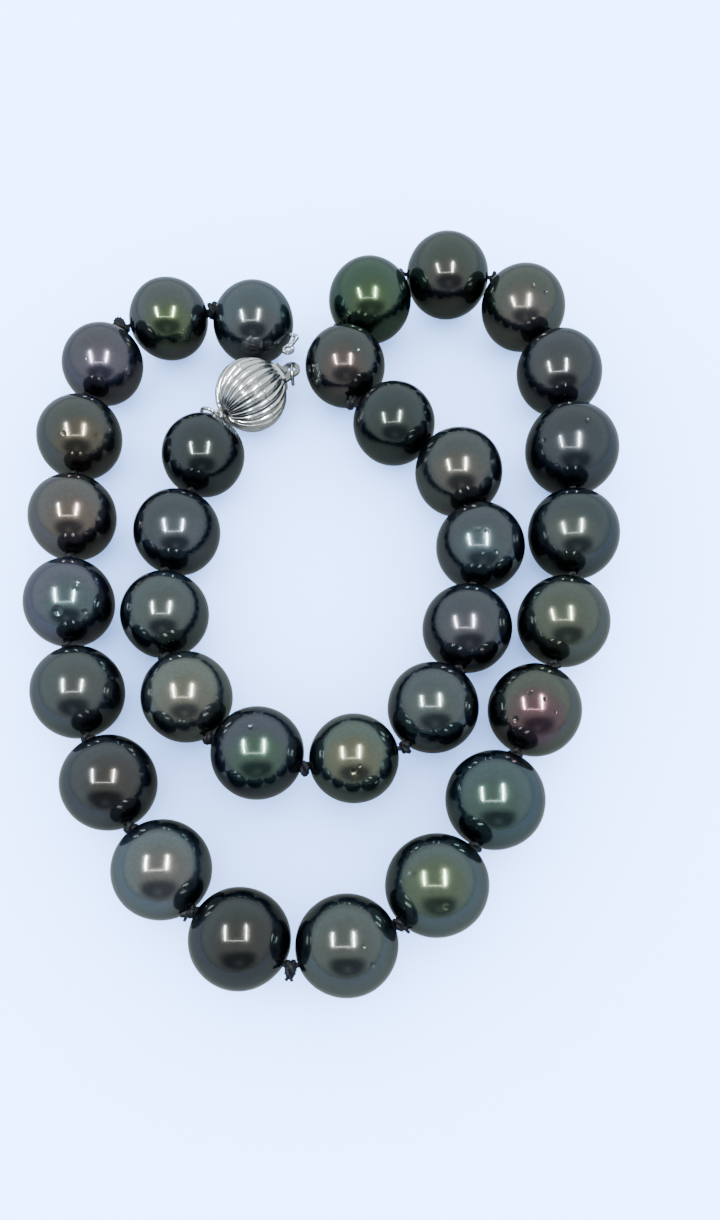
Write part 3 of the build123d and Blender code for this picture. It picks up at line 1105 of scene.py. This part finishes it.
def mirrored_room(tree, place, up):
    """Brightness of the room in the lustre, where the maker leans in: a dark shape with paler hands."""
    wide = add(tree, "ShaderNodeVectorMath", operation="MULTIPLY")
    feed(tree, place, wide.inputs[0])
    wide.inputs[1].default_value = (0.55, 1.0, 1.0)
    maker = fade(tree, gap_to(tree, wide.outputs[0], (0.02, -0.87, 0.47)), 0.24, 0.52, 0.2, 1.0)
    hands = fade(tree, gap_to(tree, place, (0.02, -0.92, 0.38)), 0.0, 0.24, 0.28, 0.0)
    horizon = fade(tree, up, 0.0, 0.3, 0.65, 1.0)
    room = maths(tree, "MULTIPLY", maths(tree, "MULTIPLY", maker, horizon), settings().room_light)
    return maths(tree, "ADD", room, hands)


def make_lights():
    """The strip lights, and a world that looks different lit by, mirrored and seen."""
    world = bpy.data.worlds.new("light_box")
    bpy.context.scene.world = world
    world.use_nodes = True
    tree = world.node_tree
    tree.nodes.clear()
    background = add(tree, "ShaderNodeBackground", Strength=1.0)
    output = add(tree, "ShaderNodeOutputWorld")
    place = add(tree, "ShaderNodeTexCoord").outputs["Generated"]
    parts = add(tree, "ShaderNodeSeparateXYZ")
    feed(tree, place, parts.inputs[0])
    up = parts.outputs["Z"]
    # most light comes in low from the windows, so the loops of the strand shade their insides
    windows = add(tree, "ShaderNodeMapRange", From_Min=0.25, From_Max=0.75, To_Min=1.0, To_Max=0.3)
    feed(tree, up, windows.inputs["Value"])
    box = maths(tree, "MULTIPLY", windows.outputs[0], settings().box_light)
    look = scaled(tree, tuple(settings().box_colour), box)
    mirrored = scaled(tree, tuple(settings().room_colour), mirrored_room(tree, place, up))
    haze = scaled(tree, tuple(settings().box_colour), settings().haze_light)
    rays = add(tree, "ShaderNodeLightPath")
    for ray, other in (("Is Glossy Ray", mirrored), ("Is Camera Ray", haze)):
        choice = add(tree, "ShaderNodeMix", data_type="RGBA")
        feed(tree, rays.outputs[ray], choice.inputs[0])
        feed(tree, look, choice.inputs[6])
        feed(tree, other, choice.inputs[7])
        look = choice.outputs[2]
    feed(tree, look, background.inputs["Color"])
    feed(tree, background.outputs[0], output.inputs[0])
    for name, numbers in STRIPS.items():
        make_strip(name, *numbers)


SENSOR = 36
LENS = 31.79508
SHIFT = 0.1174
ROLL = -1.354


def make_camera():
    """The camera, aimed along camera_axis and rolled a little."""
    data = bpy.data.cameras.new("camera")
    camera = bpy.data.objects.new("camera", data)
    bpy.context.scene.collection.objects.link(camera)
    bpy.context.scene.camera = camera
    data.sensor_width = SENSOR
    data.lens = LENS
    data.shift_y = SHIFT
    data.clip_start, data.clip_end = 0.002, 20
    target, back = camera_axis()
    camera.location = target + back * settings().view_distance
    camera.rotation_mode = "QUATERNION"
    camera.rotation_quaternion = (-back).to_track_quat("-Z", "Y")
    camera.rotation_mode = "XYZ"
    camera.rotation_euler.rotate_axis("Z", math.radians(ROLL))


STEPS = (STRAND_OT_pearls, STRAND_OT_silk, STRAND_OT_clasp, STRAND_OT_stage)
CLASSES = (PearlStrandSettings, *STEPS, STRAND_PT_panel)


def register():
    for item in CLASSES:
        bpy.utils.register_class(item)
    bpy.types.Scene.pearl_strand = PointerProperty(type=PearlStrandSettings)


def unregister():
    del bpy.types.Scene.pearl_strand
    for item in reversed(CLASSES):
        bpy.utils.unregister_class(item)


def main():
    """Registers the add-on and runs the steps in order."""
    register()
    for step in STEPS:
        area, name = step.bl_idname.split(".")
        getattr(getattr(bpy.ops, area), name)()


if __name__ == "__main__":
    main()
